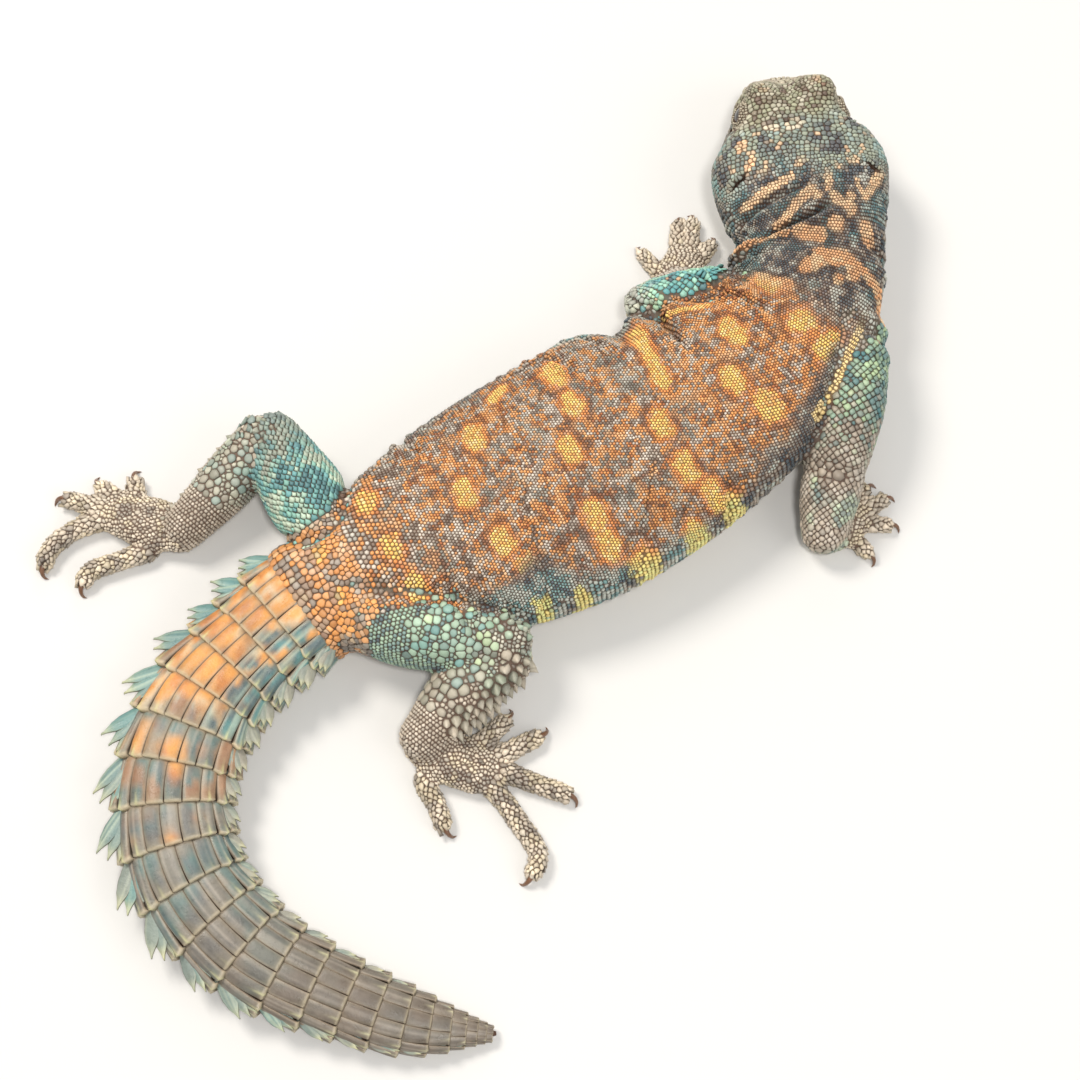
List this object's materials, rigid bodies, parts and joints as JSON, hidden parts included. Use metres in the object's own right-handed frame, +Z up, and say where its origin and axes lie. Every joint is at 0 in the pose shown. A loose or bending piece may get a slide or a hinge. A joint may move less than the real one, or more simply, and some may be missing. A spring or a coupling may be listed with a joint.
{
  "type": "uromastyx lizard",
  "caption": "Still life-size model of a spiny-tailed desert lizard lying on its belly, with its head turned, legs spread and a broad ringed tail curled round.",
  "frame": {"origin": "on the floor, at the middle of the animal's outline seen from above", "axes": "+Z up from the floor; the head points along +Y, the tail root along -X, so the animal's left side faces -X at the head"},
  "size_m": [0.1696, 0.2017, 0.0232],
  "materials": {
    "head_skin": "matt, plated scales",
    "back_skin": "matt, fine granular scales",
    "limb_skin": "matt, lapped scales and knobs",
    "paw_skin": "matt, rough scales",
    "tail_scale": "satin, horny keeled plates",
    "eye": "wet gloss",
    "eardrum": "thin dark membrane",
    "claw": "dark horn"
  },
  "bodies": {
    "root": {"head": "head_skin", "neck": "back_skin", "trunk": "back_skin", "tail_root": "tail_scale", "tail_middle": "tail_scale", "tail_end": "tail_scale", "eye_left": "eye", "eye_right": "eye", "eardrum_left": "eardrum", "eardrum_right": "eardrum", "upper_arm_left": "limb_skin", "forearm_left": "limb_skin", "thigh_left": "limb_skin", "shank_left": "limb_skin", "upper_arm_right": "limb_skin", "forearm_right": "limb_skin", "thigh_right": "limb_skin", "shank_right": "limb_skin", "hand_left": "paw_skin", "claw_hand_left_first": "claw", "claw_hand_left_second": "claw", "claw_hand_left_third": "claw", "claw_hand_left_fourth": "claw", "claw_hand_left_fifth": "claw", "hand_right": "paw_skin", "claw_hand_right_first": "claw", "claw_hand_right_second": "claw", "claw_hand_right_third": "claw", "claw_hand_right_fourth": "claw", "claw_hand_right_fifth": "claw", "foot_left": "paw_skin", "claw_foot_left_first": "claw", "claw_foot_left_second": "claw", "claw_foot_left_third": "claw", "claw_foot_left_fourth": "claw", "claw_foot_left_fifth": "claw", "foot_right": "paw_skin", "claw_foot_right_first": "claw", "claw_foot_right_second": "claw", "claw_foot_right_third": "claw", "claw_foot_right_fourth": "claw", "claw_foot_right_fifth": "claw"}
  },
  "joints": []
}
